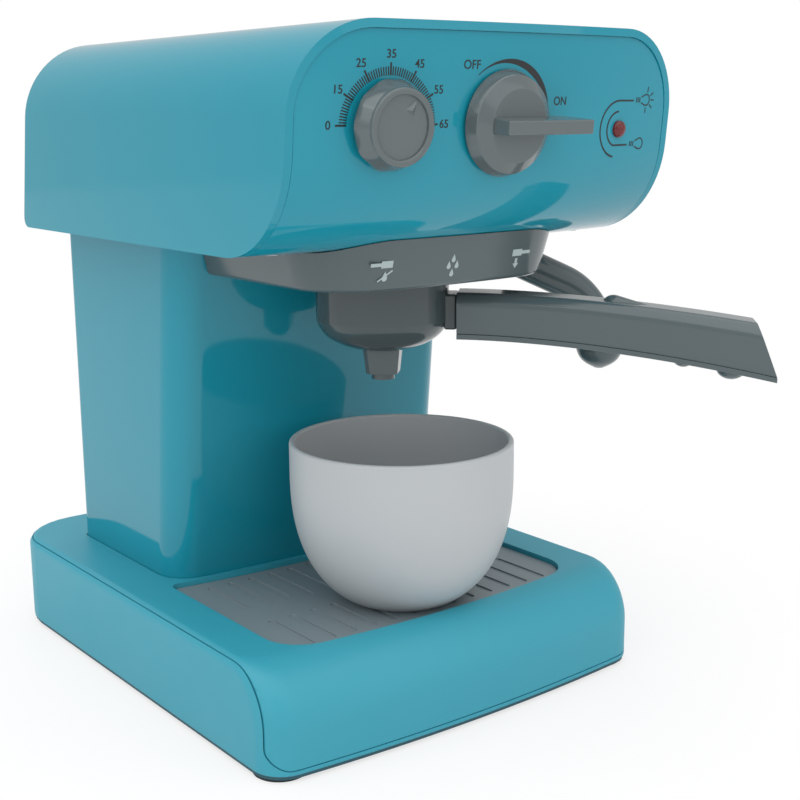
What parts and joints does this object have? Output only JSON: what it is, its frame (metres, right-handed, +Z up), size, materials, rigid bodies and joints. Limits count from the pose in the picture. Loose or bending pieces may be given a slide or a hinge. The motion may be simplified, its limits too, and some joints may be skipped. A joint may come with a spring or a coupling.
{
  "type": "toy coffee maker",
  "caption": "Toy espresso machine for pretend play: a base with a lift-out grooved tray, a leaning column, a head with dials and a lamp, a lock-in filter holder, a swing wand and a cup.",
  "frame": {"origin": "centre of the base at table level, where the feet rest", "axes": "+Z up; -Y towards the front, where the dials and the cup are; +X to the right as seen by someone who faces the front"},
  "size_m": [0.1799, 0.2489, 0.2256],
  "materials": {
    "casing": "moulded ABS with a fine satin gloss",
    "underside": "dark moulded polypropylene, matt",
    "grey_trim": "grey moulded ABS, satin",
    "tray_grey": "grey moulded polypropylene, satin",
    "cup_white": "pale grey polypropylene, soft gloss",
    "metallic_grey": "silver-grey coloured ABS, satin",
    "lens_red": "dark red translucent polycarbonate",
    "inner_black": "black moulded plastic, matt",
    "nylon": "natural nylon",
    "foot_rubber": "dark soft rubber, matt",
    "steel": "plain zinc-plated steel",
    "cell_jacket": "printed jacket of a dry cell, plain colour",
    "board_green": "green glass-fibre laminate",
    "wire_red": "red wire insulation",
    "wire_black": "black wire insulation"
  },
  "bodies": {
    "casing": {"base_shell": "casing", "base_cover": "casing", "base_plate": "underside", "rubber_feet": "foot_rubber", "base_screws": "steel", "battery_box": "inner_black", "battery_cells": "cell_jacket", "battery_contacts": "steel", "battery_door": "underside", "door_screw": "steel", "column_shell": "casing", "column_back": "casing", "column_screws": "steel", "column_back_screws": "steel", "head_shell": "casing", "head_floor": "casing", "head_screws": "steel", "front_panel": "casing", "panel_screws": "steel", "group_housing": "grey_trim", "housing_screws": "steel", "click_spring": "steel", "rotary_switch": "inner_black", "lamp_lens": "lens_red", "lamp_bulb": "lens_red", "circuit_board": "board_green", "board_screws": "steel", "lamp_wires": "wire_red", "battery_wires": "wire_black"},
    "timer_dial": {"timer_knob": "metallic_grey", "timer_shaft": "steel", "click_wheel": "nylon", "timer_clip": "steel"},
    "power_dial": {"power_knob": "metallic_grey", "power_shaft": "steel", "power_clip": "steel"},
    "locking_ring": {"locking_ring": "inner_black"},
    "portafilter": {"filter_basket": "metallic_grey", "spout": "grey_trim", "handle_shell": "grey_trim", "handle_plate": "grey_trim", "handle_screws": "steel"},
    "steam_wand": {"steam_wand": "metallic_grey", "wand_tip": "grey_trim", "wand_pivot": "grey_trim", "wand_washer": "steel", "wand_screw": "steel"},
    "drip_tray": {"drip_tray": "tray_grey"},
    "cup": {"cup": "cup_white"}
  },
  "joints": [
    {"name": "timer_turn", "type": "hinge", "parent": "casing", "child": "timer_dial", "pos_m": [-0.044, -0.11081, 0.197], "axis": [0, -0.9951, -0.0993], "range_deg": [-60, 120]},
    {"name": "power_turn", "type": "hinge", "parent": "casing", "child": "power_dial", "pos_m": [-0.0022, -0.11264, 0.197], "axis": [0, -0.9951, -0.0993], "range_deg": [0, 131]},
    {"name": "ring_turn", "type": "hinge", "parent": "casing", "child": "locking_ring", "pos_m": [0, -0.049, 0.152], "axis": [0, 0, 1], "range_deg": [-90, 0]},
    {"name": "portafilter_drop", "type": "slide", "parent": "locking_ring", "child": "portafilter", "axis": [0, 0, -1], "range_m": [0, 0.018]},
    {"name": "wand_swing", "type": "hinge", "parent": "casing", "child": "steam_wand", "pos_m": [0.061, -0.052, 0.152], "axis": [0, 0, 1], "range_deg": [-30, 60]},
    {"name": "tray_lift", "type": "slide", "parent": "casing", "child": "drip_tray", "axis": [0, 0, 1], "range_m": [0, 0.012]},
    {"name": "cup_lift", "type": "slide", "parent": "drip_tray", "child": "cup", "axis": [0, -0.9659, 0.2588], "range_m": [0, 0.12]}
  ]
}
